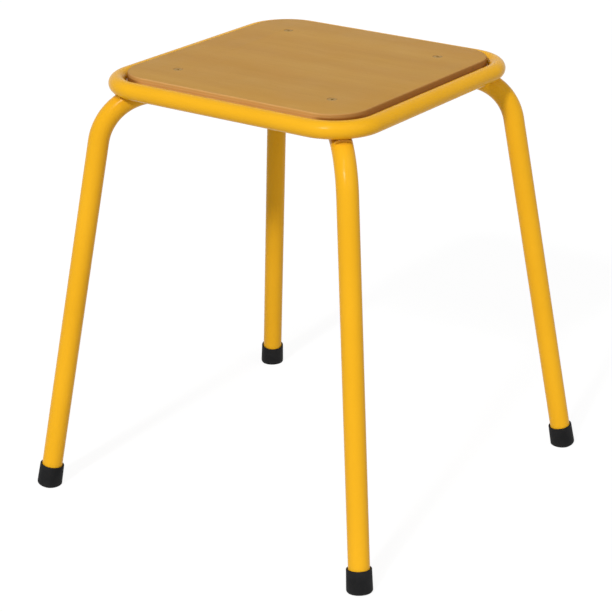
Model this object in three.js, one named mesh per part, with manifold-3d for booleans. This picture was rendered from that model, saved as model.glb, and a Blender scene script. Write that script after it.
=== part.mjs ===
// Stacking stool: a square plywood seat inside a ring of bent tube, on four splayed tube legs.
// Millimetres, Z up. The origin is on the floor under the middle of the seat.
import * as THREE from "three";
import { mergeVertices, toCreasedNormals } from "three/addons/utils/BufferGeometryUtils.js";
import Module from "manifold-3d";

// Seat board
const seatHeight = 460; // floor to the top of the board
const boardThickness = 12;
const boardCornerRadius = 39;
const boardEdgeRadius = 1.5; // rounding of the top and bottom edges
const boardSideGap = 0.75; // board to ring along the straight sides

// Seat ring
const ringTubeDiameter = 18;
const ringTubeWall = 1.5;
const ringWidth = 308; // between the centrelines of opposite sides
const ringBendRadius = 46; // of the centreline at the corners
const ventHoleDiameter = 5; // lets the closed ring breathe when it is coated

// Legs
const legTubeDiameter = 22;
const legTubeWall = 1.5;
const legBendRadius = 60; // of the centreline at the shoulders
const shoulderSetback = 37.3; // bend start, in from the ring's centreline at its corner
const splayAngle = THREE.MathUtils.degToRad(10.27); // of a leg from the vertical

// Welds
const saddleBeadRadius = 2; // round the coped end of a half leg
const padLength = 6.5; // ring weld along the leg, from its middle
const padWidth = 7.5; // ring weld across the leg, from its middle
const padDepth = 2.6; // ring weld between the tubes, from its middle

// Rubber ferrules on the feet
const ferruleHeight = 25;
const ferruleWall = 1.7; // at the rim
const ferruleFlare = 0.5; // how much the base reaches past the rim
const ferruleFloor = 5; // thickness of the base
const ferruleEdgeRadius = 3.4; // round the base
const ferruleRimRadius = 0.6;
const ferruleWear = 1; // pressed flat by the floor under the middle of the base
const ferruleWasherThickness = 1.5;
const ferruleWasherBore = 6;

// Seat screws, their washers and cap nuts
const screwSetback = 25.4; // screw to the start of a leg's bend, on the tube under the board
const screwDiameter = 5;
const screwHeadDiameter = 10;
const screwHeadLand = 0.3; // height of the head's straight rim
const screwHeadDrop = 0.2; // head below the face of the board
const screwEngagement = 3.3; // of the thread in the nut
const screwTipChamfer = 0.6;
const socketWidth = 3; // hexagon socket, across its flats
const socketDepth = 1.6;
const washerDiameter = 10;
const washerThickness = 1;
const nutWidth = 8; // across its flats
const nutHexHeight = 3.2;
const nutDomeDiameter = 7.4;
const nutBoreSpare = 0.6; // bore left beyond the screw's tip
const nutCapWall = 2.3; // crown of the nut over its bore
const nutChamfer = 0.5;

// Clearances
const restGap = 0.3; // between pieces that bear on each other or are welded
const screwClearance = 0.25; // round a screw
const overrun = 2; // of a cutter past the face it cuts
const mergeDistance = 0.0005; // closer points are one

// Fineness of the curves
const tubeSides = 20;
const boreSides = 12;
const roundSides = 24; // ferrules
const smallSides = 16; // screws, washers and nuts
const padSides = 12;
const beadSides = 8;
const beadSteps = 32;
const bendStep = THREE.MathUtils.degToRad(10);
const cornerSteps = 10; // round a corner of the board
const edgeSteps = 3; // round its edges
const filletSteps = 3; // round an edge or a dome
const creaseAngle = THREE.MathUtils.degToRad(35); // sharper edges are shaded as edges
const halfShare = 0.5;
const rightAngle = Math.PI * halfShare;
const hexagonAngle = Math.PI / 6; // from the middle of a hexagon's side to its corner

// Places worked out from the sizes above
const legRadius = legTubeDiameter * halfShare;
const legBoreRadius = legRadius - legTubeWall;
const ringRadius = ringTubeDiameter * halfShare;
const ringHalfWidth = ringWidth * halfShare;
const cornerReach = Math.SQRT2 * (ringHalfWidth - ringBendRadius) + ringBendRadius;
const boardUnderside = seatHeight - boardThickness;
const tubeTop = boardUnderside - restGap; // of the tubes under the board
const runHeight = tubeTop - legRadius; // their centreline
const tubeUnderside = runHeight - legRadius;
const bendStart = cornerReach - shoulderSetback;
const bendCentreHeight = runHeight - legBendRadius;
const screwDistance = bendStart - screwSetback; // from the middle of the seat
const shoulderCorner = bendStart + legBendRadius * Math.tan((rightAngle - splayAngle) * halfShare);
const footDistance = shoulderCorner + runHeight * Math.tan(splayAngle); // leg's axis on the floor
const contactReach = legBendRadius + legRadius + restGap + ringRadius; // bend centre to ring centreline
const contactAngle = Math.asin(shoulderSetback / contactReach);
const ringHeight = bendCentreHeight + contactReach * Math.cos(contactAngle);
const ferruleBase = -ferruleWear; // heights in a ferrule are along the leg, from the floor point
const ferruleBore = legRadius + restGap;
const ferruleWasherLift = ferruleBase + ferruleFloor + restGap;
const tubeEndLift = ferruleWasherLift + ferruleWasherThickness + restGap;
const screwTop = seatHeight - screwHeadDrop;
const screwRadius = screwDiameter * halfShare;
const screwHoleRadius = screwRadius + screwClearance;
const screwHeadRadius = screwHeadDiameter * halfShare;
const washerTop = tubeUnderside - restGap;
const nutTop = washerTop - washerThickness - restGap;
const screwTip = nutTop - screwEngagement;
const nutBoreEnd = screwTip - nutBoreSpare;

const corners = [
  { name: "front_left", angle: -rightAngle - rightAngle * halfShare },
  { name: "front_right", angle: -rightAngle * halfShare },
  { name: "back_right", angle: rightAngle * halfShare },
  { name: "back_left", angle: rightAngle + rightAngle * halfShare },
];

const yellowCoat = new THREE.MeshStandardMaterial({ color: 0xf0a91c, roughness: 0.35, metalness: 0 });
const plywood = new THREE.MeshStandardMaterial({ color: 0xbb8e54, roughness: 0.5, metalness: 0 });
const blackRubber = new THREE.MeshStandardMaterial({ color: 0x232323, roughness: 0.75, metalness: 0 });
const zincSteel = new THREE.MeshStandardMaterial({ color: 0xa7a9a6, roughness: 0.4, metalness: 1 });
const yellowZinc = new THREE.MeshStandardMaterial({ color: 0xa88c5e, roughness: 0.5, metalness: 1 });

const wasm = await Module();
wasm.setup();

// A closed geometry as a solid that can be joined and cut
function solidFrom(geometry, placing = new THREE.Matrix4()) {
  const bare = geometry.clone().applyMatrix4(placing);
  bare.deleteAttribute("normal");
  bare.deleteAttribute("uv");
  const merged = mergeVertices(bare, mergeDistance);
  const vertProperties = merged.attributes.position.array;
  const triVerts = new Uint32Array(merged.index.array);
  return new wasm.Manifold(new wasm.Mesh({ numProp: 3, vertProperties, triVerts }));
}

// A solid as a named mesh
function meshFrom(name, solid, material) {
  const { vertProperties, triVerts } = solid.getMesh();
  const geometry = new THREE.BufferGeometry();
  geometry.setAttribute("position", new THREE.BufferAttribute(vertProperties, 3));
  geometry.setIndex(new THREE.BufferAttribute(triVerts, 1));
  const mesh = new THREE.Mesh(toCreasedNormals(geometry, creaseAngle), material);
  mesh.name = name;
  return mesh;
}

// A centreline that runs straight from point to point and bends round the inner ones at one radius
class BentPath extends THREE.Curve {
  constructor(points, bendRadius) {
    super();
    this.stations = [points[0]];
    for (let i = 1; i < points.length - 1; i++) {
      this.addBend(points[i - 1], points[i], points[i + 1], bendRadius);
    }
    this.stations.push(points[points.length - 1]);
    this.steps = this.stations.length - 1;
  }

  addBend(before, corner, after, radius) {
    const incoming = corner.clone().sub(before).normalize();
    const outgoing = after.clone().sub(corner).normalize();
    const turn = incoming.angleTo(outgoing);
    const inwards = outgoing.clone().addScaledVector(incoming, -Math.cos(turn)).normalize();
    const start = corner.clone().addScaledVector(incoming, -radius * Math.tan(turn * halfShare));
    const centre = start.addScaledVector(inwards, radius);
    const count = Math.ceil(turn / bendStep);
    for (let step = 0; step <= count; step++) {
      const angle = (turn * step) / count;
      const station = centre.clone().addScaledVector(inwards, -radius * Math.cos(angle));
      this.stations.push(station.addScaledVector(incoming, radius * Math.sin(angle)));
    }
  }

  getPoint(t, target = new THREE.Vector3()) {
    const index = Math.min(Math.floor(t * this.steps), this.steps - 1);
    return target.lerpVectors(this.stations[index], this.stations[index + 1], t * this.steps - index);
  }

  // Keeps the cross-sections at the stations
  getUtoTmapping(u) {
    return u;
  }
}

// The line on which a tube along X meets the face of a rod along Y
class SaddleCurve extends THREE.Curve {
  constructor(branchRadius, rodRadius) {
    super();
    this.branchRadius = branchRadius;
    this.rodRadius = rodRadius;
  }

  getPoint(t, target = new THREE.Vector3()) {
    const y = this.branchRadius * Math.sin(t * Math.PI * 2);
    const z = this.branchRadius * Math.cos(t * Math.PI * 2);
    return target.set(Math.sqrt(this.rodRadius ** 2 - z ** 2), y, z);
  }
}

// A solid round bar along an open path
function bar(path, radius, sides, placing) {
  const section = new THREE.Shape().absarc(0, 0, radius, 0, Math.PI * 2);
  const geometry = new THREE.ExtrudeGeometry(section, {
    extrudePath: path,
    steps: path.steps,
    curveSegments: sides * halfShare,
  });
  return solidFrom(geometry, placing);
}

// A round bar along a path that comes back to its start
function loop(path, steps, radius, sides, placing) {
  return solidFrom(new THREE.TubeGeometry(path, steps, radius, sides, true), placing);
}

// A body round Z, from a profile of [distance from Z, height] that runs upwards on its outside
function turned(profile, sides, placing) {
  const points = profile.map(([distance, height]) => new THREE.Vector2(distance, height));
  return solidFrom(new THREE.LatheGeometry(points, sides).rotateX(rightAngle), placing);
}

// A rod round Z between two heights
function rod(radius, bottom, top, sides, placing) {
  const profile = [
    [0, bottom],
    [radius, bottom],
    [radius, top],
    [0, top],
  ];
  return turned(profile, sides, placing);
}

// A hexagon rod round Z between two heights
function hexagonRod(width, bottom, top) {
  return rod((width * halfShare) / Math.cos(hexagonAngle), bottom, top, 6);
}

// A flat ring round Z between two heights
function flatRing(boreRadius, outerRadius, bottom, top, sides) {
  const profile = [
    [boreRadius, bottom],
    [outerRadius, bottom],
    [outerRadius, top],
    [boreRadius, top],
    [boreRadius, bottom],
  ];
  return turned(profile, sides);
}

// A square block round a point of X between two heights
function block(distance, width, bottom, top) {
  const geometry = new THREE.BoxGeometry(width, width, top - bottom);
  return solidFrom(geometry.translate(distance, 0, (top + bottom) * halfShare));
}

// Points of a round from one angle to the next, as [distance, height]
function roundPoints(centreDistance, centreHeight, radius, fromAngle, toAngle) {
  const points = [];
  for (let step = 0; step <= filletSteps; step++) {
    const angle = fromAngle + ((toAngle - fromAngle) * step) / filletSteps;
    points.push([centreDistance + radius * Math.cos(angle), centreHeight + radius * Math.sin(angle)]);
  }
  return points;
}

function shiftedAlongX(distance) {
  return new THREE.Matrix4().makeTranslation(distance, 0, 0);
}

function turnedRoundZ(angle) {
  return new THREE.Matrix4().makeRotationZ(angle);
}

// From a leg's own axis, pointing up from the floor, to the frame of its corner
function footPlacing() {
  return shiftedAlongX(footDistance).multiply(new THREE.Matrix4().makeRotationY(-splayAngle));
}

// The end of a leg's centreline, this far up the leg from the floor
function legEnd(lift, side) {
  return new THREE.Vector3(0, 0, lift).applyMatrix4(footPlacing()).multiply(new THREE.Vector3(side, 1, 1));
}

function shoulder(side) {
  return new THREE.Vector3(side * shoulderCorner, 0, runHeight);
}

// Centreline of a leg from near the seat's middle, along X, to its foot
function legPath(start, endLift) {
  const middle = new THREE.Vector3(start, 0, runHeight);
  return new BentPath([middle, shoulder(1), legEnd(endLift, 1)], legBendRadius);
}

// Centreline of the hoop from foot to foot, along X
function hoopPath(endLift) {
  return new BentPath([legEnd(endLift, -1), shoulder(-1), shoulder(1), legEnd(endLift, 1)], legBendRadius);
}

// The hole for a seat screw through the tube below the board
function screwHole(side) {
  const placing = shiftedAlongX(side * screwDistance);
  return rod(screwHoleRadius, tubeUnderside - overrun, tubeTop + overrun, smallSides, placing);
}

// The tube that runs from foot to foot under the seat
function hoopTube() {
  return bar(hoopPath(tubeEndLift), legRadius, tubeSides)
    .subtract(bar(hoopPath(tubeEndLift - overrun), legBoreRadius, boreSides))
    .subtract(screwHole(1))
    .subtract(screwHole(-1));
}

// A leg whose inner end is coped round the hoop, with a weld that leaves the top flat for the board
function halfLeg() {
  const copeRadius = legRadius + restGap;
  const atRun = new THREE.Matrix4().makeTranslation(0, 0, runHeight);
  const acrossAtRun = atRun.clone().multiply(new THREE.Matrix4().makeRotationX(rightAngle));
  const bead = loop(new SaddleCurve(legRadius, copeRadius), beadSteps, saddleBeadRadius, beadSides, atRun);
  const cope = rod(copeRadius, -legTubeDiameter, legTubeDiameter, tubeSides, acrossAtRun);
  return bar(legPath(0, tubeEndLift), legRadius, tubeSides)
    .add(bead)
    .subtract(bar(legPath(-overrun, tubeEndLift - overrun), legBoreRadius, boreSides))
    .subtract(cope)
    .subtract(block(0, legTubeDiameter + legTubeDiameter, tubeTop, seatHeight))
    .subtract(screwHole(1));
}

// Centreline of the seat ring, from the middle of one side and back to it
function ringPath() {
  const start = new THREE.Vector3(ringHalfWidth, 0, ringHeight);
  const turns = [
    [1, 1],
    [-1, 1],
    [-1, -1],
    [1, -1],
  ].map(([x, y]) => new THREE.Vector3(x * ringHalfWidth, y * ringHalfWidth, ringHeight));
  return new BentPath([start, ...turns, start], ringBendRadius);
}

// The weld between the ring and one leg's shoulder: a flattened ball that the leg cuts
function shoulderWeld(angle) {
  const contact = legBendRadius + legRadius;
  const place = new THREE.Vector3(contact * Math.sin(contactAngle), 0, contact * Math.cos(contactAngle));
  place.add(new THREE.Vector3(bendStart, 0, bendCentreHeight));
  const ball = new THREE.SphereGeometry(1, padSides, padSides * halfShare);
  ball.scale(padLength, padWidth, padDepth).rotateY(contactAngle).translate(place.x, place.y, place.z);
  const leg = bar(legPath(0, tubeEndLift), legRadius + restGap, tubeSides, turnedRoundZ(angle));
  return solidFrom(ball, turnedRoundZ(angle)).subtract(leg);
}

// The closed square of tube round the board
function seatRing() {
  const path = ringPath();
  let ring = loop(path, path.steps, ringRadius, tubeSides);
  for (const { angle } of corners) {
    ring = ring.add(shoulderWeld(angle));
  }
  ring = ring.subtract(loop(path, path.steps, ringRadius - ringTubeWall, boreSides));
  for (const side of [-1, 1]) {
    const placing = shiftedAlongX(side * ringHalfWidth);
    const bottom = ringHeight - ringRadius - overrun;
    ring = ring.subtract(rod(ventHoleDiameter * halfShare, bottom, ringHeight, smallSides, placing));
  }
  return ring;
}

// What a seat screw's hole takes out of the board, round Z
function countersink(placing) {
  const mouthRadius = screwHeadRadius + screwClearance;
  const coneBottom = screwTop - screwHeadLand - (screwHeadRadius - screwRadius);
  const profile = [
    [0, boardUnderside - overrun],
    [screwHoleRadius, boardUnderside - overrun],
    [screwHoleRadius, coneBottom],
    [mouthRadius, screwTop - screwHeadLand],
    [mouthRadius, seatHeight + overrun],
    [0, seatHeight + overrun],
  ];
  return turned(profile, smallSides, placing);
}

// The plywood board, with its edges rounded over
function seatBoard() {
  const centre = ringHalfWidth - ringRadius - boardSideGap - boardCornerRadius;
  const outline = new THREE.Shape()
    .absarc(centre, centre, boardCornerRadius, 0, rightAngle)
    .absarc(-centre, centre, boardCornerRadius, rightAngle, Math.PI)
    .absarc(-centre, -centre, boardCornerRadius, Math.PI, Math.PI + rightAngle)
    .absarc(centre, -centre, boardCornerRadius, Math.PI + rightAngle, Math.PI * 2);
  const geometry = new THREE.ExtrudeGeometry(outline, {
    depth: boardThickness - boardEdgeRadius - boardEdgeRadius,
    curveSegments: cornerSteps * halfShare,
    bevelSize: boardEdgeRadius,
    bevelThickness: boardEdgeRadius,
    bevelOffset: -boardEdgeRadius,
    bevelSegments: edgeSteps,
  });
  let board = solidFrom(geometry.translate(0, 0, boardUnderside + boardEdgeRadius));
  for (const { angle } of corners) {
    board = board.subtract(countersink(turnedRoundZ(angle).multiply(shiftedAlongX(screwDistance))));
  }
  return board;
}

// A countersunk screw round Z, with a hexagon socket
function seatScrew() {
  const profile = [
    [0, screwTip],
    [screwRadius - screwTipChamfer, screwTip],
    [screwRadius, screwTip + screwTipChamfer],
    [screwRadius, screwTop - screwHeadLand - (screwHeadRadius - screwRadius)],
    [screwHeadRadius, screwTop - screwHeadLand],
    [screwHeadRadius, screwTop],
    [0, screwTop],
  ];
  const socket = hexagonRod(socketWidth, screwTop - socketDepth, screwTop + overrun);
  return turned(profile, smallSides).subtract(socket);
}

function screwWasher() {
  const outerRadius = washerDiameter * halfShare;
  return flatRing(screwHoleRadius, outerRadius, washerTop - washerThickness, washerTop, smallSides);
}

// A cap nut round Z: its hexagon lies against the washer and its dome points down
function capNut() {
  const hexBottom = nutTop - nutHexHeight;
  const domeRadius = nutDomeDiameter * halfShare;
  const domeCentre = nutBoreEnd - nutCapWall + domeRadius;
  const cornerRadius = (nutWidth * halfShare) / Math.cos(hexagonAngle);
  const envelope = [
    [0, hexBottom],
    [cornerRadius - nutChamfer, hexBottom],
    [cornerRadius, hexBottom + nutChamfer],
    [cornerRadius, nutTop],
    [0, nutTop],
  ];
  const dome = [...roundPoints(0, domeCentre, domeRadius, -rightAngle, 0), [domeRadius, nutTop], [0, nutTop]];
  return hexagonRod(nutWidth, hexBottom - overrun, nutTop + overrun)
    .intersect(turned(envelope, roundSides))
    .add(turned(dome, smallSides))
    .subtract(rod(screwHoleRadius, nutBoreEnd, nutTop + overrun, smallSides));
}

// The rubber cup on a leg's end, with the floor's flat across its base
function ferrule() {
  const rimRadius = ferruleBore + ferruleWall;
  const baseRadius = rimRadius + ferruleFlare;
  const top = ferruleBase + ferruleHeight;
  const edgeHeight = ferruleBase + ferruleEdgeRadius;
  const profile = [
    [0, ferruleBase],
    ...roundPoints(baseRadius - ferruleEdgeRadius, edgeHeight, ferruleEdgeRadius, -rightAngle, 0),
    ...roundPoints(rimRadius - ferruleRimRadius, top - ferruleRimRadius, ferruleRimRadius, 0, rightAngle),
    [ferruleBore, top],
    [ferruleBore, ferruleBase + ferruleFloor],
    [0, ferruleBase + ferruleFloor],
  ];
  const floor = block(footDistance, ferruleHeight + ferruleHeight, -ferruleHeight, 0);
  return turned(profile, roundSides, footPlacing()).subtract(floor);
}

// The steel washer that keeps a leg's end from cutting through its ferrule
function ferruleWasher() {
  const top = ferruleWasherLift + ferruleWasherThickness;
  return flatRing(ferruleWasherBore * halfShare, legRadius, ferruleWasherLift, top, smallSides);
}

// A group turned to one corner, with the X axis pointing out over the leg
function cornerGroup(angle, ...children) {
  const group = new THREE.Group();
  group.rotation.z = angle;
  group.add(...children);
  return group;
}

// The screw, washer and nut of one corner, over its leg
function fixing(name) {
  const group = new THREE.Group();
  group.position.x = screwDistance;
  group.add(meshFrom(`seat_screw_${name}`, seatScrew(), yellowZinc));
  group.add(meshFrom(`screw_washer_${name}`, screwWasher(), zincSteel));
  group.add(meshFrom(`cap_nut_${name}`, capNut(), zincSteel));
  return group;
}

// The ferrule of one corner, and the washer in it
function foot(name) {
  const washer = meshFrom(`ferrule_washer_${name}`, ferruleWasher(), zincSteel);
  washer.applyMatrix4(footPlacing());
  const group = new THREE.Group();
  group.add(meshFrom(`ferrule_${name}`, ferrule(), blackRubber), washer);
  return group;
}

const stool = new THREE.Group();
stool.name = "stacking_stool";
stool.add(meshFrom("seat_board", seatBoard(), plywood));
stool.add(meshFrom("seat_ring", seatRing(), yellowCoat));
for (const { name, angle } of corners) {
  stool.add(cornerGroup(angle, fixing(name), foot(name)));
}
const [, frontRight, backRight, backLeft] = corners;
stool.add(cornerGroup(backRight.angle, meshFrom("hoop_tube", hoopTube(), yellowCoat)));
for (const { name, angle } of [frontRight, backLeft]) {
  stool.add(cornerGroup(angle, meshFrom(`half_leg_${name}`, halfLeg(), yellowCoat)));
}

export default stool;
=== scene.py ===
import math
import bpy
from mathutils import Matrix, Quaternion, Vector


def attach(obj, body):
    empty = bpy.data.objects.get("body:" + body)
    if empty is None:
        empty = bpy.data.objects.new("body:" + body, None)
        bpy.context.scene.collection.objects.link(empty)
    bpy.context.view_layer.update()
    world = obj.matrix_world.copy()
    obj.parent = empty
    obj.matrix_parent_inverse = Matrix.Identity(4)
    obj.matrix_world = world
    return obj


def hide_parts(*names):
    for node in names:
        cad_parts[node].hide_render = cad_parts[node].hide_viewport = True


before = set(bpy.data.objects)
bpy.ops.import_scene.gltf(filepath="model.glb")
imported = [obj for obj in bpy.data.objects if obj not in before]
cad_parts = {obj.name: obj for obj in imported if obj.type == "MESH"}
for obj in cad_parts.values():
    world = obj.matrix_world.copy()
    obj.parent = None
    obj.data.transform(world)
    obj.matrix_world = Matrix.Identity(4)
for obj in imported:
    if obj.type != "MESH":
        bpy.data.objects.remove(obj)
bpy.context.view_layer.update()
bpy.ops.object.select_all(action="DESELECT")
print("frame loaded,", len(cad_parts), "nodes")

# Stacking stool, in metres. The legs lie along the seat's diagonals, so most of the frame is made
# in the frame of a corner, where X points out over the leg, and is then turned to its corner.
corners = {
    "front_left": math.radians(-135),
    "front_right": math.radians(-45),
    "back_right": math.radians(45),
    "back_left": math.radians(135),
}

board = {
    "top": 0.460,
    "thickness": 0.012,
    "halfWidth": 0.14425,
    "cornerRadius": 0.039,
    "cornerSteps": 20,
    "edgeRadius": 0.0015,
    "edgeSteps": 4,
    "longPly": 0.0016,          # grain along X, as in the faces; five of these
    "crossPly": 0.0010,         # and four across
}

legs = {
    "tubeRadius": 0.011,
    "wall": 0.0015,
    "bendRadius": 0.060,
    "bendStart": 0.161435,     # from the middle of the seat to where a leg starts to bend down
    "splay": math.radians(10.27),
    "endLift": 0.0061,         # of the tube's end over the floor, along the leg
    "sides": 56,
    "bendSteps": 26,
    "gap": 0.0003,             # to the pieces that the tubes carry
}

underside = board["top"] - board["thickness"]
runHeight = underside - legs["gap"] - legs["tubeRadius"]          # of a tube's middle under the board
bendCentre = Vector((legs["bendStart"], 0, runHeight - legs["bendRadius"]))
shoulderReach = legs["bendStart"] + legs["bendRadius"] * math.tan((math.pi / 2 - legs["splay"]) / 2)
footReach = shoulderReach + runHeight * math.tan(legs["splay"])
footPlacing = Matrix.Translation((footReach, 0, 0)) @ Matrix.Rotation(-legs["splay"], 4, "Y")


# Modelling
mergeDistance = 1e-6
overrun = 0.002          # how far a cutter reaches past the face that it goes through


def pickOnly(piece):
    bpy.ops.object.select_all(action="DESELECT")
    piece.select_set(True)
    bpy.context.view_layer.objects.active = piece


def placeAt(piece, placing):          # moves the piece and bakes its place into its mesh
    pickOnly(piece)
    piece.matrix_world = placing
    bpy.ops.object.transform_apply(location=True, rotation=True, scale=True)
    return piece


def copyOf(piece, name):              # with a mesh of its own
    pickOnly(piece)
    bpy.ops.object.duplicate(linked=False)
    twin = bpy.context.object
    twin.name = name
    return twin


def aboutMiddle(angle):
    return Matrix.Rotation(angle, 4, "Z")


def overLeg(angle, reach):            # out along the leg that stands at this angle
    return aboutMiddle(angle) @ Matrix.Translation((reach, 0, 0))


def closeUp(piece):                   # merges doubles and turns the faces outwards
    pickOnly(piece)
    bpy.ops.object.mode_set(mode="EDIT")
    bpy.ops.mesh.select_all(action="SELECT")
    bpy.ops.mesh.remove_doubles(threshold=mergeDistance)
    bpy.ops.mesh.normals_make_consistent(inside=False)
    bpy.ops.object.mode_set(mode="OBJECT")


def giveWall(piece, wall):
    pickOnly(piece)
    solidify = piece.modifiers.new("wall", "SOLIDIFY")
    solidify.thickness = wall
    solidify.offset = -1
    solidify.use_even_offset = True
    bpy.ops.object.modifier_apply(modifier=solidify.name)


def combine(piece, other, operation):  # the other piece is used up
    pickOnly(piece)
    boolean = piece.modifiers.new("combine", "BOOLEAN")
    boolean.operation = operation
    boolean.solver = "EXACT"
    boolean.object = other
    bpy.ops.object.modifier_apply(modifier=boolean.name)
    bpy.data.objects.remove(other)


def bentTube(name, points, size):
    # from the first point to the last, with a bend at each point between them
    points = [Vector(point) for point in points]
    heading = (points[1] - points[0]).normalized()
    place = points[0].copy()
    bpy.ops.object.select_all(action="DESELECT")
    bpy.ops.mesh.primitive_circle_add(
        vertices=size["sides"], radius=size["tubeRadius"],
        location=place, rotation=heading.to_track_quat("Z", "Y").to_euler(),
    )
    tube = bpy.context.object
    tube.name = name
    bpy.ops.object.transform_apply(location=True, rotation=True, scale=True)
    bpy.ops.object.mode_set(mode="EDIT")
    bpy.ops.mesh.select_all(action="SELECT")
    for corner, after in zip(points[1:-1], points[2:]):
        onwards = (after - corner).normalized()
        angle = heading.angle(onwards)
        shortening = size["bendRadius"] * math.tan(angle / 2)
        tangent = corner - heading * shortening
        inwards = (onwards - heading * math.cos(angle)).normalized()
        centre = tangent + inwards * size["bendRadius"]
        bpy.ops.mesh.extrude_region_move(TRANSFORM_OT_translate={"value": tangent - place})
        bpy.ops.mesh.spin(steps=size["bendSteps"], angle=angle, center=centre, axis=inwards.cross(heading))
        place = corner + onwards * shortening
        heading = onwards
    bpy.ops.mesh.extrude_region_move(TRANSFORM_OT_translate={"value": points[-1] - place})
    bpy.ops.object.mode_set(mode="OBJECT")
    closeUp(tube)
    giveWall(tube, size["wall"])
    return tube


def turned(name, profile, steps):
    # spins a profile of (distance from Z, height) round Z
    points = [Vector((distance, 0, height)) for distance, height in profile]
    bpy.ops.object.select_all(action="DESELECT")
    bpy.ops.mesh.primitive_plane_add()
    piece = bpy.context.object
    piece.name = name
    bpy.ops.object.mode_set(mode="EDIT")
    bpy.ops.mesh.select_all(action="SELECT")
    bpy.ops.mesh.merge(type="CENTER")                   # leaves one point to draw the profile with
    bpy.ops.transform.translate(value=points[0])
    for start, end in zip(points, points[1:]):
        bpy.ops.mesh.extrude_vertices_move(TRANSFORM_OT_translate={"value": end - start})
    bpy.ops.mesh.select_all(action="SELECT")
    bpy.ops.mesh.spin(steps=steps, angle=math.tau, center=(0, 0, 0), axis=(0, 0, 1))
    bpy.ops.object.mode_set(mode="OBJECT")
    closeUp(piece)
    return piece


def arc(centre, radius, start, end, steps):      # points of a round in a profile, angles in degrees
    angles = [math.radians(start + (end - start) * step / steps) for step in range(steps + 1)]
    return [(centre[0] + radius * math.cos(angle), centre[1] + radius * math.sin(angle)) for angle in angles]


def rod(radius, bottom, top, sides, placing=Matrix.Identity(4)):
    bpy.ops.object.select_all(action="DESELECT")
    bpy.ops.mesh.primitive_cylinder_add(
        vertices=sides, radius=radius, depth=top - bottom, location=(0, 0, (top + bottom) / 2)
    )
    piece = bpy.context.object
    bpy.ops.object.transform_apply(location=True, rotation=True, scale=True)
    return placeAt(piece, placing)


def block(low, high):
    low, high = Vector(low), Vector(high)
    bpy.ops.object.select_all(action="DESELECT")
    bpy.ops.mesh.primitive_cube_add(size=1, location=(low + high) / 2, scale=high - low)
    piece = bpy.context.object
    bpy.ops.object.transform_apply(location=True, rotation=True, scale=True)
    return piece


def roundEdges(piece, wanted, radius, steps):    # the edges whose direction is wanted
    pickOnly(piece)
    bpy.ops.object.mode_set(mode="EDIT")
    bpy.ops.mesh.select_mode(type="EDGE")
    bpy.ops.mesh.select_all(action="DESELECT")
    bpy.ops.object.mode_set(mode="OBJECT")
    for edge in piece.data.edges:
        first, second = (piece.data.vertices[index].co for index in edge.vertices)
        edge.select = wanted((second - first).normalized())
    bpy.ops.object.mode_set(mode="EDIT")
    bpy.ops.mesh.bevel(offset=radius, segments=steps, profile=0.5, affect="EDGES", offset_type="OFFSET")
    bpy.ops.mesh.select_mode(type="VERT")
    bpy.ops.object.mode_set(mode="OBJECT")


def smooth(piece, degrees=35):        # edges sharper than this stay crisp
    pickOnly(piece)
    bpy.ops.object.shade_smooth_by_angle(angle=math.radians(degrees))


# Materials

class Value:                          # a socket that can stand in a sum
    def __init__(self, shader, socket):
        self.shader, self.socket = shader, socket

    def maths(self, operation, *inputs):
        return self.shader.node("ShaderNodeMath", {"operation": operation}, inputs)["Value"]

    def __add__(self, other):
        return self.maths("ADD", self, other)

    def __sub__(self, other):
        return self.maths("SUBTRACT", self, other)

    def __rsub__(self, other):
        return self.maths("SUBTRACT", other, self)

    def __mul__(self, other):
        return self.maths("MULTIPLY", self, other)

    def __truediv__(self, other):
        return self.maths("DIVIDE", self, other)

    def __mod__(self, other):
        return self.maths("FLOORED_MODULO", self, other)

    def __gt__(self, other):
        return self.maths("GREATER_THAN", self, other)

    def __lt__(self, other):
        return self.maths("LESS_THAN", self, other)

    def __abs__(self):
        return self.maths("ABSOLUTE", self)

    __radd__ = __add__


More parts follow.
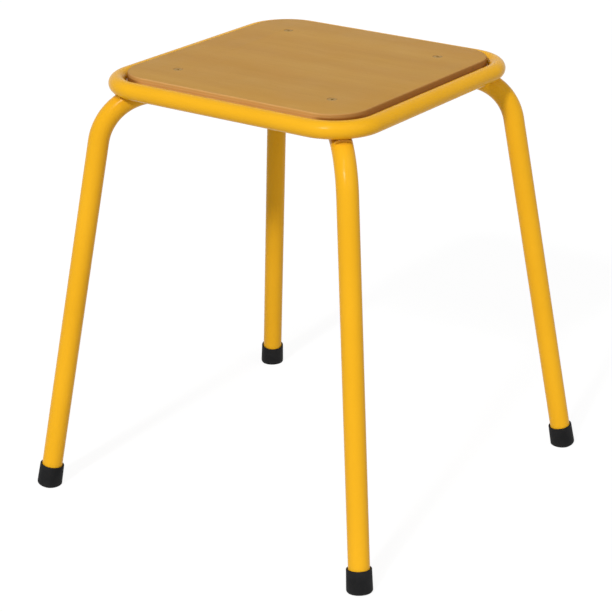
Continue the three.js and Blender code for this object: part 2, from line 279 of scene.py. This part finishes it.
class Shader:
    def __init__(self, tree):
        self.tree = tree
        self.tree.nodes.clear()

    def node(self, kind, settings=None, sockets=()):
        made = self.tree.nodes.new(kind)
        for name, value in (settings or {}).items():
            setattr(made, name, value)
        named = sockets.items() if isinstance(sockets, dict) else enumerate(sockets)
        for name, value in named:
            self.setSocket(made, name, value)
        return {output.name: Value(self, output) for output in made.outputs if output.enabled}

    def setSocket(self, made, name, value):
        if isinstance(name, int):
            socket = made.inputs[name]
        else:
            socket = next(one for one in made.inputs if one.name == name and one.enabled)
        if isinstance(value, Value):
            self.tree.links.new(value.socket, socket)
        elif socket.type == "RGBA":
            socket.default_value = (*value, 1)
        else:
            socket.default_value = value

    def objectPlace(self):
        return self.scaled(self.node("ShaderNodeTexCoord")["Object"], (1, 1, 1))

    def scaled(self, place, scale):
        return self.node("ShaderNodeMapping", {}, {"Vector": place, "Scale": scale})["Vector"]

    def axes(self, place):
        return self.node("ShaderNodeSeparateXYZ", {}, {"Vector": place})

    def noise(self, place, scale, detail, roughness=0.5):
        sockets = {"Vector": place, "Scale": scale, "Detail": detail, "Roughness": roughness}
        return next(iter(self.node("ShaderNodeTexNoise", {}, sockets).values()))

    def rise(self, value, start, end, most=1):      # 0 up to start, and most from end on
        made = self.tree.nodes.new("ShaderNodeValToRGB")
        self.setSocket(made, 0, value)
        for element, (position, level) in zip(made.color_ramp.elements, ((start, 0), (end, most))):
            element.position = position
            element.color = (level, level, level, 1)
        return Value(self, made.outputs["Color"])

    def fade(self, value, start, end):              # 1 up to start, and 0 from end on
        sockets = {"Value": value, "From Min": start, "From Max": end, "To Min": 1.0, "To Max": 0.0}
        return self.node("ShaderNodeMapRange", {"clamp": True}, sockets)["Result"]

    def mix(self, share, first, second, kind="RGBA"):
        sockets = {"Factor": share, "A": first, "B": second}
        return self.node("ShaderNodeMix", {"data_type": kind}, sockets)["Result"]

    def bump(self, height, depth, strength):
        sockets = {"Height": height, "Distance": depth, "Strength": strength}
        return self.node("ShaderNodeBump", {}, sockets)["Normal"]

    def cover(self, colour, roughness, normal, specular=0.5, metallic=0.0):
        sockets = {
            "Base Color": colour,
            "Roughness": roughness,
            "Normal": normal,
            "Specular IOR Level": specular,
            "Metallic": metallic,
        }
        self.show(self.node("ShaderNodeBsdfPrincipled", {}, sockets)["BSDF"])

    def show(self, surface, kind="ShaderNodeOutputMaterial"):
        self.node(kind, {}, {"Surface": surface})


def startMaterial(name):
    material = bpy.data.materials.new(name)
    material.use_nodes = True
    return material, Shader(material.node_tree)


def yellowPowderCoat():
    coat = {
        "deep": (0.862, 0.431, 0.0125),
        "light": (0.908, 0.461, 0.0155),
        "scuffed": (0.76, 0.41, 0.025),
        "scuffZone": (0.03, 0.12),    # heights between which the knocks of use thin out
        # painted shade: the leg just under the ring on each shoulder is darkened towards this colour,
        # standing in for the ring's shadow
        "paintedShade": (0.38, 0.145, 0.018),
        "paintedShadeShare": 0.85,
        "paintedShadeLow": 0.4346,            # heights of the painted shade under the ring on each shoulder
        "paintedShadeHigh": 0.43878,
        "paintedShadeEdge": 0.001,            # how softly the zone ends below, and how much that edge wavers
        "paintedShadeWaver": 0.0005,
        "paintedShadeFrom": 0.470,            # from the middle of the floor, which leaves only the shoulders
        "roughness": 0.22,
        "orangePeel": 430,            # bumps to the metre
    }
    material, shader = startMaterial("yellow_powder_coat")
    place = shader.objectPlace()
    cloud = shader.noise(place, scale=11, detail=3)
    fine = shader.noise(place, scale=90, detail=3)
    peel = shader.noise(place, coat["orangePeel"], detail=1.5)
    dust = shader.noise(place, scale=2600, detail=2)
    lengthways = shader.scaled(place, (160, 160, 16))
    scratches = shader.rise(shader.noise(lengthways, scale=9, detail=4, roughness=0.7), 0.66, 0.74)
    height = shader.axes(place)["Z"]
    nearFloor = shader.fade(height, *coat["scuffZone"])
    tone = shader.mix(shader.rise(cloud, 0.3, 0.7), coat["deep"], coat["light"])
    scuffs = scratches * (0.12 + nearFloor * 0.3) * fine
    colour = shader.mix(scuffs, tone, coat["scuffed"])
    fromMiddle = shader.node("ShaderNodeVectorMath", {"operation": "LENGTH"}, [place])["Value"]
    # painted shade under the ring at the shoulders, laid by height and by distance from the middle
    wavering = height + fine * coat["paintedShadeWaver"]
    paintedShadeZone = shader.rise(wavering, coat["paintedShadeLow"], coat["paintedShadeLow"] + coat["paintedShadeEdge"])
    paintedShadeZone = paintedShadeZone * (height < coat["paintedShadeHigh"]) * (fromMiddle > coat["paintedShadeFrom"])
    colour = shader.mix(paintedShadeZone * coat["paintedShadeShare"], colour, coat["paintedShade"])
    roughness = coat["roughness"] + cloud * 0.06 + scratches * 0.12
    normal = shader.bump(peel + dust * 0.12 - scratches * 0.3, depth=0.00006, strength=0.6)
    shader.cover(colour, roughness, normal, specular=0.08)
    return material


def lacqueredVeneer():
    veneer = {
        "light": (0.596, 0.329, 0.075),
        "dark": (0.545, 0.287, 0.061),
        "fibre": (0.450, 0.226, 0.045),
        "pore": (0.315, 0.147, 0.032),
        "stain": (0.567, 0.278, 0.049),
        "drift": 0.02,                # how far the grain wanders from straight
    }
    material, shader = startMaterial("lacquered_veneer")
    place = shader.objectPlace()
    wander = shader.noise(place, scale=7, detail=2)
    shift = shader.node("ShaderNodeCombineXYZ", {}, {"Y": (wander - 0.5) * veneer["drift"]})["Vector"]
    drifted = shader.node("ShaderNodeVectorMath", {"operation": "ADD"}, [place, shift])["Vector"]
    # the grain runs along X, so each of these is drawn out that way
    figure = shader.noise(shader.scaled(drifted, (1.6, 26, 26)), scale=1, detail=3)
    fibre = shader.noise(shader.scaled(drifted, (22, 1500, 1500)), scale=1, detail=3, roughness=0.65)
    pores = shader.noise(shader.scaled(drifted, (150, 2300, 2300)), scale=1, detail=2)
    pores = shader.rise(pores, 0.66, 0.74)
    blotch = shader.noise(place, scale=14, detail=2)
    rubbed = shader.noise(place, scale=30, detail=4)
    tone = shader.mix(shader.rise(figure, 0.32, 0.68), veneer["dark"], veneer["light"])
    tone = shader.mix(shader.rise(blotch, 0.4, 0.75, most=0.5), tone, veneer["stain"])
    tone = shader.mix(shader.rise(fibre, 0.45, 0.75, most=0.45), tone, veneer["fibre"])
    tone = shader.mix(pores * 0.45, tone, veneer["pore"])
    roughness = 0.48 + rubbed * 0.16 + pores * 0.1
    normal = shader.bump(fibre * 0.5 - pores, depth=0.00005, strength=0.5)
    shader.cover(tone, roughness, normal, specular=0.09)
    return material


def plywoodEdge():
    edge = {
        "longGrain": (0.65, 0.362, 0.122),
        "endGrain": (0.61, 0.322, 0.092),
        "glue": (0.44, 0.215, 0.056),
        "glueShare": 0.05,            # of a pair of plies
        "handled": (0.60, 0.310, 0.080),
        # painted shade for the edge faces that look along X
        "paintedSideShade": (0.25, 0.092, 0.018),
        # darker colour for the lower part of the edge near the corners
        "cornerDarkening": (0.25, 0.088, 0.010),
        "cornerDarkeningDepth": (0.27, 0.38),   # where it starts and is full, as shares of the thickness
        "cornerDarkeningReach": (0.252, 0.259),      # and out towards a corner, as X and Y together
    }
    material, shader = startMaterial("plywood_edge")
    place = shader.objectPlace()
    axes = shader.axes(place)
    waver = (shader.noise(place, scale=25, detail=2) - 0.5) * 0.0003
    pair = board["longPly"] + board["crossPly"]
    share = (axes["Z"] + waver - underside) / pair % 1
    longShare = board["longPly"] / pair
    cross = share > longShare
    facing = shader.axes(shader.node("ShaderNodeNewGeometry")["Normal"])
    cutAcross = abs(abs(facing["X"]) - cross) > 0.5       # the cut ends of the fibres show
    ends = shader.noise(place, scale=2200, detail=2)
    streaks = shader.noise(shader.scaled(place, (30, 30, 2400)), scale=1, detail=3)
    grain = shader.mix(cutAcross, streaks, ends, kind="FLOAT")
    tone = shader.mix(cutAcross, edge["longGrain"], edge["endGrain"])
    tone = shader.mix(shader.rise(grain, 0.4, 0.8, most=0.35), tone, edge["glue"])
    handled = shader.rise(shader.noise(place, scale=22, detail=4), 0.42, 0.72, most=0.5)
    tone = shader.mix(handled, tone, edge["handled"])
    glueLine = (share < edge["glueShare"]) + (abs(share - longShare) < edge["glueShare"] / 2)
    tone = shader.mix(glueLine * 0.3, tone, edge["glue"])
    # painted shade: the faces that look along X, which the main lamp only grazes, are darkened towards a
    # shade colour
    tone = shader.mix(abs(facing["X"]) * 0.65, tone, edge["paintedSideShade"])
    # towards the corners, the edge is darkened from about a third of its thickness down
    cornerShare = shader.rise(abs(axes["X"]) + abs(axes["Y"]), *edge["cornerDarkeningReach"])
    depthShare = shader.rise((board["top"] - axes["Z"]) / board["thickness"], *edge["cornerDarkeningDepth"])
    tone = shader.mix(cornerShare * depthShare * 0.9, tone, edge["cornerDarkening"])
    roughness = 0.62 + grain * 0.15
    normal = shader.bump(grain * 0.4 - glueLine, depth=0.00006, strength=0.5)
    shader.cover(tone, roughness, normal, specular=0.06)
    return material


def blackRubber():
    rubber = {
        "black": (0.0055, 0.0057, 0.0062),
        "bloom": (0.0135, 0.0135, 0.0140),
        "dust": (0.050, 0.046, 0.040),
        "dustTop": 0.006,             # most of it lies below this height
    }
    material, shader = startMaterial("black_rubber")
    place = shader.objectPlace()
    cloud = shader.noise(place, scale=60, detail=4)
    grit = shader.noise(place, scale=1500, detail=3)
    low = shader.fade(shader.axes(place)["Z"], 0.0, rubber["dustTop"])
    tone = shader.mix(shader.rise(cloud, 0.35, 0.7), rubber["black"], rubber["bloom"])
    dusty = shader.rise(grit, 0.5, 0.7) * (0.06 + low * 0.5)
    tone = shader.mix(dusty, tone, rubber["dust"])
    roughness = 0.62 + cloud * 0.12 + dusty * 0.2
    normal = shader.bump(grit + cloud * 0.5, depth=0.00005, strength=0.6)
    shader.cover(tone, roughness, normal, specular=0.13)
    return material


def platedSteel(name, bright, dull, roughness):
    material, shader = startMaterial(name)
    place = shader.objectPlace()
    cloud = shader.noise(place, scale=240, detail=3)
    grain = shader.noise(place, scale=2600, detail=3)
    tone = shader.mix(shader.rise(cloud, 0.3, 0.7), bright, dull)
    normal = shader.bump(grain, depth=0.00002, strength=0.4)
    shader.cover(tone, roughness + cloud * 0.12, normal, metallic=1.0)
    return material


yellowCoat = yellowPowderCoat()
veneerFace = lacqueredVeneer()
plyEdge = plywoodEdge()
rubberBlack = blackRubber()
zincSteel = platedSteel("zinc_steel", bright=(0.44, 0.455, 0.45), dull=(0.33, 0.345, 0.33), roughness=0.34)
yellowZinc = platedSteel("yellow_zinc", bright=(0.42, 0.26, 0.074), dull=(0.36, 0.22, 0.062), roughness=0.55)
print("materials made")


def addToStool(piece, slot, replaced, *materials):
    piece.data.materials.clear()
    for material in materials:
        piece.data.materials.append(material)
    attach(piece, "root")
    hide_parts(replaced)


# Seat board: a slab with its corners rounded, then its edges, and a countersunk hole over each leg
screws = {
    "reach": legs["bendStart"] - 0.0254,      # from the middle of the seat
    "radius": 0.0025,
    "clearance": 0.00025,
    "headRadius": 0.005,
    "headLand": 0.0003,
    "headDrop": 0.0002,
    "edgeBreak": 0.0001,
    "tip": 0.4208,
    "tipChamfer": 0.0006,
    "socketWidth": 0.003,
    "socketDepth": 0.0016,
    "steps": 48,
    "holeSides": 32,
    "drillReach": 0.02,        # of the cutter, up and down from a tube's middle
}
screwTop = board["top"] - screws["headDrop"]
headLand = screwTop - screws["headLand"]
headCone = screws["headRadius"] - screws["radius"]
holeRadius = screws["radius"] + screws["clearance"]


def countersink():
    mouth = screws["headRadius"] + screws["clearance"]
    profile = [
        (0, underside - overrun),
        (holeRadius, underside - overrun),
        (holeRadius, headLand - headCone),
        (mouth, headLand),
        (mouth, board["top"] + overrun),
        (0, board["top"] + overrun),
    ]
    return turned("countersink", profile, screws["steps"])


def makeBoard():
    half = board["halfWidth"]
    slab = block((-half, -half, underside), (half, half, board["top"]))
    slab.name = "seat_board_plywood"
    # the upright edges first, then those round the top and the underside
    roundEdges(slab, lambda way: abs(way.z) > 0.9, board["cornerRadius"], board["cornerSteps"])
    roundEdges(slab, lambda way: abs(way.z) < 0.1, board["edgeRadius"], board["edgeSteps"])
    cutter = countersink()
    for angle in corners.values():
        combine(slab, placeAt(copyOf(cutter, "hole"), overLeg(angle, screws["reach"])), "DIFFERENCE")
    bpy.data.objects.remove(cutter)
    smooth(slab, 30)
    addToStool(slab, "plywood", "seat_board", veneerFace, plyEdge)
    for face in slab.data.polygons:             # veneer above and below, plies on all the rest
        face.material_index = 0 if abs(face.normal.z) > 0.999 else 1


makeBoard()
print("seat board made")


# Seat ring: one tube bent round the board, welded to the four shoulders
ring = {
    "tubeRadius": 0.009,
    "wall": 0.0015,
    "halfWidth": 0.154,
    "bendRadius": 0.046,
    "height": 0.44781,
    "sides": 56,
    "bendSteps": 26,
    "ventRadius": 0.0025,
    "ventSides": 24,
}
cornerMiddle = math.sqrt(2) * (ring["halfWidth"] - ring["bendRadius"])      # of the ring's corner bends

# Each weld is made as a plain round bead, then laid into the groove and rippled
bead = {
    "plainRadius": 0.001,
    "setBack": 0.0058,            # of its middle, from the plane where ring and leg come closest
    "bite": 0.0005,               # into ring and leg
    "halfLength": 0.0088,
    "reach": math.radians(50),    # round the leg, to each side
    "steps": 48,
    "sides": 16,
    "ripples": 9,
    "rippleShare": 0.05,
    "tailEnd": 0.02,              # square of how thin its ends run out, as a share of its full radius
    "widest": 0.010,              # no groove takes a larger radius
    "halvings": 30,
}


def grooveBall(across, side):
    # middle and radius of the ball that fills the groove between leg and ring, this far across the leg
    ringReach = cornerMiddle + math.sqrt(ring["bendRadius"] ** 2 - across ** 2)
    towardsRing = Vector((ringReach - bendCentre.x, ring["height"] - bendCentre.z))
    small, large = 0, bead["widest"]
    for halving in range(bead["halvings"]):
        radius = (small + large) / 2
        fromLeg = math.sqrt((legs["tubeRadius"] + radius - bead["bite"]) ** 2 - across ** 2)
        legShare = math.sqrt((legs["bendRadius"] + fromLeg) ** 2 - bead["setBack"] ** 2)
        ringShare = math.sqrt((ring["tubeRadius"] + radius - bead["bite"]) ** 2 - bead["setBack"] ** 2)
        if legShare + ringShare > towardsRing.length:
            large = radius
        else:
            small = radius
    outwards = towardsRing.normalized()
    middle = outwards * legShare + Vector((outwards.y, -outwards.x)) * side * bead["setBack"]
    return Vector((bendCentre.x + middle.x, across, bendCentre.z + middle.y)), radius


def shoulderBead(side):
    # lies in the groove between ring and leg, on the outer side (1) or the inner side (-1)
    axisPoint = Vector((bendCentre.x, 0, runHeight))
    upwards, across = Vector((0, 0, 1)), Vector((0, 1, 0))

    def spunMiddle(angle):
        return axisPoint + (upwards * math.cos(angle) + across * math.sin(angle)) * legs["tubeRadius"]

    heading = upwards * math.sin(bead["reach"]) + across * math.cos(bead["reach"])
    bpy.ops.object.select_all(action="DESELECT")
    bpy.ops.mesh.primitive_circle_add(
        vertices=bead["sides"], radius=bead["plainRadius"], fill_type="NGON",
        location=spunMiddle(-bead["reach"]), rotation=heading.to_track_quat("Z", "Y").to_euler(),
    )
    weld = bpy.context.object
    bpy.ops.object.transform_apply(location=True, rotation=True, scale=True)
    bpy.ops.object.mode_set(mode="EDIT")
    bpy.ops.mesh.select_all(action="SELECT")
    bpy.ops.mesh.spin(
        steps=bead["steps"], angle=2 * bead["reach"], center=axisPoint, axis=across.cross(upwards)
    )
    bpy.ops.object.mode_set(mode="OBJECT")
    for vertex in weld.data.vertices:
        arm = vertex.co - axisPoint
        angle = math.atan2(arm.y, arm.z)
        share = max(-1, min(angle / bead["reach"], 1))
        middle, radius = grooveBall(share * bead["halfLength"], side)
        swell = 1 + bead["rippleShare"] * math.cos(share * math.pi * bead["ripples"])
        tail = math.sqrt(max(1 - share ** 4, bead["tailEnd"]))        # its ends run down onto the leg
        middle -= (middle - bendCentre).normalized() * radius * (1 - tail)
        lift = Vector((0, arm.y, arm.z)).length - legs["tubeRadius"]
        vertex.co = middle + Vector((arm.x, 0, lift)) * radius / bead["plainRadius"] * swell * tail
    closeUp(weld)
    return weld


def makeRing():
    half, height = ring["halfWidth"], ring["height"]
    turns = [(x * half, y * half, height) for x, y in ((1, 1), (-1, 1), (-1, -1), (1, -1))]
    start = (half, 0, height)
    tube = bentTube("seat_ring_tube", [start, *turns, start], ring)
    welds = [shoulderBead(side) for side in (-1, 1)]
    for angle in corners.values():
        for weld in welds:
            combine(tube, placeAt(copyOf(weld, "weld"), aboutMiddle(angle)), "UNION")
    for weld in welds:
        bpy.data.objects.remove(weld)
    for side in (-1, 1):
        below = Matrix.Translation((side * half, 0, 0))
        vent = rod(ring["ventRadius"], height - 2 * ring["tubeRadius"], height, ring["ventSides"], below)
        combine(tube, vent, "DIFFERENCE")
    smooth(tube)
    addToStool(tube, "yellow_coat", "seat_ring", yellowCoat)


makeRing()
print("seat ring made")


# Legs: one hoop from foot to foot, and two half legs coped and welded to its middle
cope = {
    "radius": legs["tubeRadius"] + legs["gap"],
    "sides": 96,
    "reach": 0.03,             # of the cutters, from the middle of the crossing
    "beadRadius": 0.002,
    "beadSteps": 168,
    "beadSides": 14,
    "ripples": 26,
    "rippleShare": 0.08,
}


def footEnd(side):
    end = footPlacing @ Vector((0, 0, legs["endLift"]))
    return Vector((side * end.x, 0, end.z))


def shoulderPoint(side):
    return Vector((side * shoulderReach, 0, runHeight))


def drillForScrew(tube, side):
    bottom, top = runHeight - screws["drillReach"], runHeight + screws["drillReach"]
    underScrew = Matrix.Translation((side * screws["reach"], 0, 0))
    combine(tube, rod(holeRadius, bottom, top, screws["holeSides"], underScrew), "DIFFERENCE")


def makeHoop():
    tube = bentTube("hoop_tube_bent", [footEnd(-1), shoulderPoint(-1), shoulderPoint(1), footEnd(1)], legs)
    for side in (-1, 1):
        drillForScrew(tube, side)
    placeAt(tube, aboutMiddle(corners["back_right"]))
    smooth(tube)
    addToStool(tube, "yellow_coat", "hoop_tube", yellowCoat)


def copeBead():
    # a bead along the line where a tube along X meets the hoop, which runs along Y
    bpy.ops.object.select_all(action="DESELECT")
    bpy.ops.mesh.primitive_torus_add(
        major_radius=legs["tubeRadius"], minor_radius=cope["beadRadius"],
        major_segments=cope["beadSteps"], minor_segments=cope["beadSides"], rotation=(0, math.pi / 2, 0),
    )
    weld = bpy.context.object
    bpy.ops.object.transform_apply(location=True, rotation=True, scale=True)
    for vertex in weld.data.vertices:
        angle = math.atan2(vertex.co.y, vertex.co.z)
        middle = Vector((0, math.sin(angle), math.cos(angle))) * legs["tubeRadius"]
        swell = 1 + cope["rippleShare"] * math.cos(angle * cope["ripples"])
        vertex.co = middle + (vertex.co - middle) * swell
        vertex.co.x += math.sqrt(cope["radius"] ** 2 - middle.z ** 2)
        vertex.co.z += runHeight
    return weld


def halfLegTube():
    reach = cope["reach"]
    tube = bentTube("half_leg", [(0, 0, runHeight), shoulderPoint(1), footEnd(1)], legs)
    combine(tube, copeBead(), "UNION")
    alongHoop = Matrix.Translation((0, 0, runHeight)) @ Matrix.Rotation(math.pi / 2, 4, "X")
    combine(tube, rod(cope["radius"], -reach, reach, cope["sides"], alongHoop), "DIFFERENCE")
    boardSpace = block((-reach, -reach, underside - legs["gap"]), (reach, reach, board["top"]))
    combine(tube, boardSpace, "DIFFERENCE")
    drillForScrew(tube, 1)
    smooth(tube)
    return tube


def makeHalfLegs():
    model = halfLegTube()
    for corner in ("front_right", "back_left"):
        tube = placeAt(copyOf(model, "half_leg_" + corner + "_bent"), aboutMiddle(corners[corner]))
        addToStool(tube, "yellow_coat", "half_leg_" + corner, yellowCoat)
    bpy.data.objects.remove(model)


makeHoop()
makeHalfLegs()
print("legs made")


# Ferrules: a turned rubber cup, set on the leg's end and worn flat where it stands
cup = {
    "height": 0.025,
    "wear": 0.001,
    "floor": 0.005,
    "boreRadius": legs["tubeRadius"] + legs["gap"],
    "wall": 0.0017,
    "flare": 0.00046,
    "baseRound": 0.0034,
    "rimRound": 0.0006,
    "lipRound": 0.0004,
    "steps": 72,
    "cutTolerance": 1e-7,      # small, or points just over the floor are left where they are
}


def modelFerrule():
    bore = cup["boreRadius"]
    rim = bore + cup["wall"]
    base = rim + cup["flare"]
    bottom = -cup["wear"]
    inside = bottom + cup["floor"]
    top = bottom + cup["height"]
    baseRound, rimRound, lipRound = cup["baseRound"], cup["rimRound"], cup["lipRound"]
    profile = [
        (0, bottom),
        *arc((base - baseRound, bottom + baseRound), baseRound, -90, 0, steps=10),
        *arc((rim - rimRound, top - rimRound), rimRound, 0, 90, steps=6),
        *arc((bore + lipRound, top - lipRound), lipRound, 90, 180, steps=4),
        (bore, inside),
        (0, inside),
    ]
    ferrule = placeAt(turned("ferrule", profile, cup["steps"]), footPlacing)
    pickOnly(ferrule)
    bpy.ops.object.mode_set(mode="EDIT")
    bpy.ops.mesh.select_all(action="SELECT")
    bpy.ops.mesh.bisect(                  # cuts off what would be under the floor
        plane_co=(0, 0, 0), plane_no=(0, 0, -1), use_fill=True, clear_outer=True,
        threshold=cup["cutTolerance"],
    )
    bpy.ops.object.mode_set(mode="OBJECT")
    smooth(ferrule, 40)
    return ferrule


# Fixings: a countersunk screw, a washer and a cap nut over each leg
fixings = {
    "washerTop": 0.4254,
    "washerThickness": 0.001,
    "washerRadius": 0.005,
    "edgeRound": 0.0002,
    "nutTop": 0.4241,
    "nutWidth": 0.008,
    "nutHexHeight": 0.0032,
    "nutChamfer": 0.0005,
    "nutSteps": 96,
    "domeRadius": 0.0037,
    "domeBottom": 0.4179,
    "domeInset": 0.0005,       # of its upper end in the hexagon
    "domeSteps": 64,
    "boreEnd": 0.4202,
}


def hexCornerRadius(width):           # from the width over the flats
    return width / 2 / math.cos(math.pi / 6)


def modelScrew():
    profile = [
        (0, screws["tip"]),
        (screws["radius"] - screws["tipChamfer"], screws["tip"]),
        (screws["radius"], screws["tip"] + screws["tipChamfer"]),
        (screws["radius"], headLand - headCone),
        (screws["headRadius"], headLand),
        (screws["headRadius"], screwTop - screws["edgeBreak"]),
        (screws["headRadius"] - screws["edgeBreak"], screwTop),
        (0, screwTop),
    ]
    screw = turned("screw", profile, screws["steps"])
    socketRadius = hexCornerRadius(screws["socketWidth"])
    combine(screw, rod(socketRadius, screwTop - screws["socketDepth"], screwTop + overrun, 6), "DIFFERENCE")
    smooth(screw)
    return screw


def modelWasher():
    outer, easing = fixings["washerRadius"], fixings["edgeRound"]
    top = fixings["washerTop"]
    bottom = top - fixings["washerThickness"]
    profile = [
        (holeRadius, bottom),
        (outer - easing, bottom),
        (outer, bottom + easing),
        (outer, top - easing),
        (outer - easing, top),
        (holeRadius, top),
        (holeRadius, bottom),
    ]
    washer = turned("washer", profile, screws["steps"])
    smooth(washer)
    return washer


def modelCapNut():
    top = fixings["nutTop"]
    bottom = top - fixings["nutHexHeight"]
    cornerRadius = hexCornerRadius(fixings["nutWidth"])
    chamfer = fixings["nutChamfer"]
    dome = fixings["domeRadius"]
    domeTop = top - fixings["domeInset"]
    nut = rod(cornerRadius, bottom, top, 6)
    trimmed = [
        (0, bottom),
        (cornerRadius - chamfer, bottom),
        (cornerRadius, bottom + chamfer),
        (cornerRadius, top),
        (0, top),
    ]
    combine(nut, turned("trim", trimmed, fixings["nutSteps"]), "INTERSECT")
    crown = arc((0, fixings["domeBottom"] + dome), dome, -90, 0, steps=14)
    combine(nut, turned("crown", [*crown, (dome, domeTop), (0, domeTop)], fixings["domeSteps"]), "UNION")
    combine(nut, rod(holeRadius, fixings["boreEnd"], top + overrun, screws["holeSides"]), "DIFFERENCE")
    smooth(nut)
    return nut


def fitCorners():
    # model, reach from where it was made, ending of its copies' names, slot and material
    models = {
        "ferrule": (modelFerrule(), 0, "moulded", "black_rubber", rubberBlack),
        "seat_screw": (modelScrew(), screws["reach"], "countersunk", "yellow_zinc", yellowZinc),
        "screw_washer": (modelWasher(), screws["reach"], "flat", "zinc_steel", zincSteel),
        "cap_nut": (modelCapNut(), screws["reach"], "domed", "zinc_steel", zincSteel),
    }
    for corner, angle in corners.items():
        for kind, (model, reach, ending, slot, material) in models.items():
            node = kind + "_" + corner
            piece = placeAt(copyOf(model, node + "_" + ending), overLeg(angle, reach))
            addToStool(piece, slot, node, material)
        # the washer in a ferrule is hidden, so it keeps its solid
        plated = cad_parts["ferrule_washer_" + corner]
        plated.data.materials.clear()
        plated.data.materials.append(zincSteel)
    for model, *rest in models.values():
        bpy.data.objects.remove(model)


fitCorners()
print("ferrules and fixings made")


# Studio: white all round, with a main lamp in front, a higher one, a wide fill from the right
# and the sky's own light
lamps = {                      # angles in degrees
    "softbox": {"azimuth": 9, "elevation": 35.6, "width": 5.5, "level": 0.595},
    "upper_softbox": {"azimuth": 12, "elevation": 55, "width": 5, "level": 0.11},
    "fill": {"azimuth": 78, "elevation": 38, "width": 60, "level": 0.21},
}
studio = {
    "lampDistance": 3.0,
    "skyLevel": 0.25,
    "floorSize": 9.0,
    "floorDrop": 0.0002,
    "floorBounce": 0.70,
    "floorShade": 0.12,        # how much of the light on it the floor shows
    "floorGlow": 0.925,
}
white = (1, 1, 1)


def grey(level):
    return (level, level, level)


def backdropRays(shader):             # 1 for what the camera, gloss and glass see
    rays = shader.node("ShaderNodeLightPath")
    larger = {"operation": "MAXIMUM"}
    seen = shader.node("ShaderNodeMath", larger, [rays["Is Camera Ray"], rays["Is Glossy Ray"]])["Value"]
    return shader.node("ShaderNodeMath", larger, [seen, rays["Is Transmission Ray"]])["Value"]


def direction(azimuth, elevation):    # azimuth 0 is the front, -Y, and 90 degrees the side +X
    level = math.cos(elevation)
    return Vector((math.sin(azimuth) * level, -math.cos(azimuth) * level, math.sin(elevation)))


def addLamp(name, lamp):
    towards = direction(math.radians(lamp["azimuth"]), math.radians(lamp["elevation"]))
    turn = towards.to_track_quat("Z", "Y").to_euler()
    bpy.ops.object.light_add(type="SUN", location=towards * studio["lampDistance"], rotation=turn)
    sun = bpy.context.object
    sun.name = name
    sun.data.energy = math.pi * lamp["level"]        # a white face towards it shines at this level
    sun.data.angle = math.radians(lamp["width"])


def makeSky():
    world = bpy.data.worlds.new("studio")
    bpy.context.scene.world = world
    world.use_nodes = True
    shader = Shader(world.node_tree)
    light, seen = (
        shader.node("ShaderNodeBackground", {}, {"Color": colour, "Strength": 1.0})["Background"]
        for colour in (grey(studio["skyLevel"]), white)
    )
    both = shader.node("ShaderNodeMixShader", {}, [backdropRays(shader), light, seen])["Shader"]
    shader.show(both, "ShaderNodeOutputWorld")


def makeFloor():
    bpy.ops.object.select_all(action="DESELECT")
    bpy.ops.mesh.primitive_plane_add(size=studio["floorSize"], location=(0, 0, -studio["floorDrop"]))
    floor = bpy.context.object
    floor.name = "studio_floor"
    material, shader = startMaterial("white_floor")
    bounce, shade = (
        shader.node("ShaderNodeBsdfDiffuse", {}, {"Color": grey(level)})["BSDF"]
        for level in (studio["floorBounce"], studio["floorShade"])
    )
    shine = {"Color": white, "Strength": studio["floorGlow"]}
    glow = shader.node("ShaderNodeEmission", {}, shine)["Emission"]
    seen = shader.node("ShaderNodeAddShader", {}, [shade, glow])["Shader"]
    topSide = shader.node("ShaderNodeMixShader", {}, [backdropRays(shader), bounce, seen])["Shader"]
    clear = shader.node("ShaderNodeBsdfTransparent", {}, {"Color": white})["BSDF"]
    fromBelow = shader.node("ShaderNodeNewGeometry")["Backfacing"]      # the floor is clear from below
    shader.show(shader.node("ShaderNodeMixShader", {}, [fromBelow, topSide, clear])["Shader"])
    floor.data.materials.append(material)


makeSky()
for name, lamp in lamps.items():
    addLamp(name, lamp)
makeFloor()

# Camera, solved from the photograph together with the stool's proportions
view = {
    "azimuth": math.radians(35.703),
    "elevation": math.radians(22.001),
    "roll": math.radians(-0.322),
    "distance": 2.2326,
    "lens": 121.19,
    "sensor": 36,
    "nearest": 0.05,
    "furthest": 50,
    "height": 0.18865,        # of the point it looks at, over the floor
    "aside": -0.004535,       # and beside the stool's middle
}


def makeCamera():
    azimuth = view["azimuth"]
    back = direction(azimuth, view["elevation"])
    right = Vector((math.cos(azimuth), math.sin(azimuth), 0))
    target = Vector((0, 0, view["height"])) + right * view["aside"]
    turn = back.to_track_quat("Z", "Y") @ Quaternion((0, 0, 1), view["roll"])
    bpy.ops.object.camera_add(location=target + back * view["distance"], rotation=turn.to_euler())
    camera = bpy.context.object
    camera.name = "photo_camera"
    camera.data.lens = view["lens"]
    camera.data.sensor_width = view["sensor"]
    camera.data.clip_start = view["nearest"]
    camera.data.clip_end = view["furthest"]
    bpy.context.scene.camera = camera


makeCamera()
bpy.context.scene.view_settings.view_transform = "Standard"
print("studio and camera made")
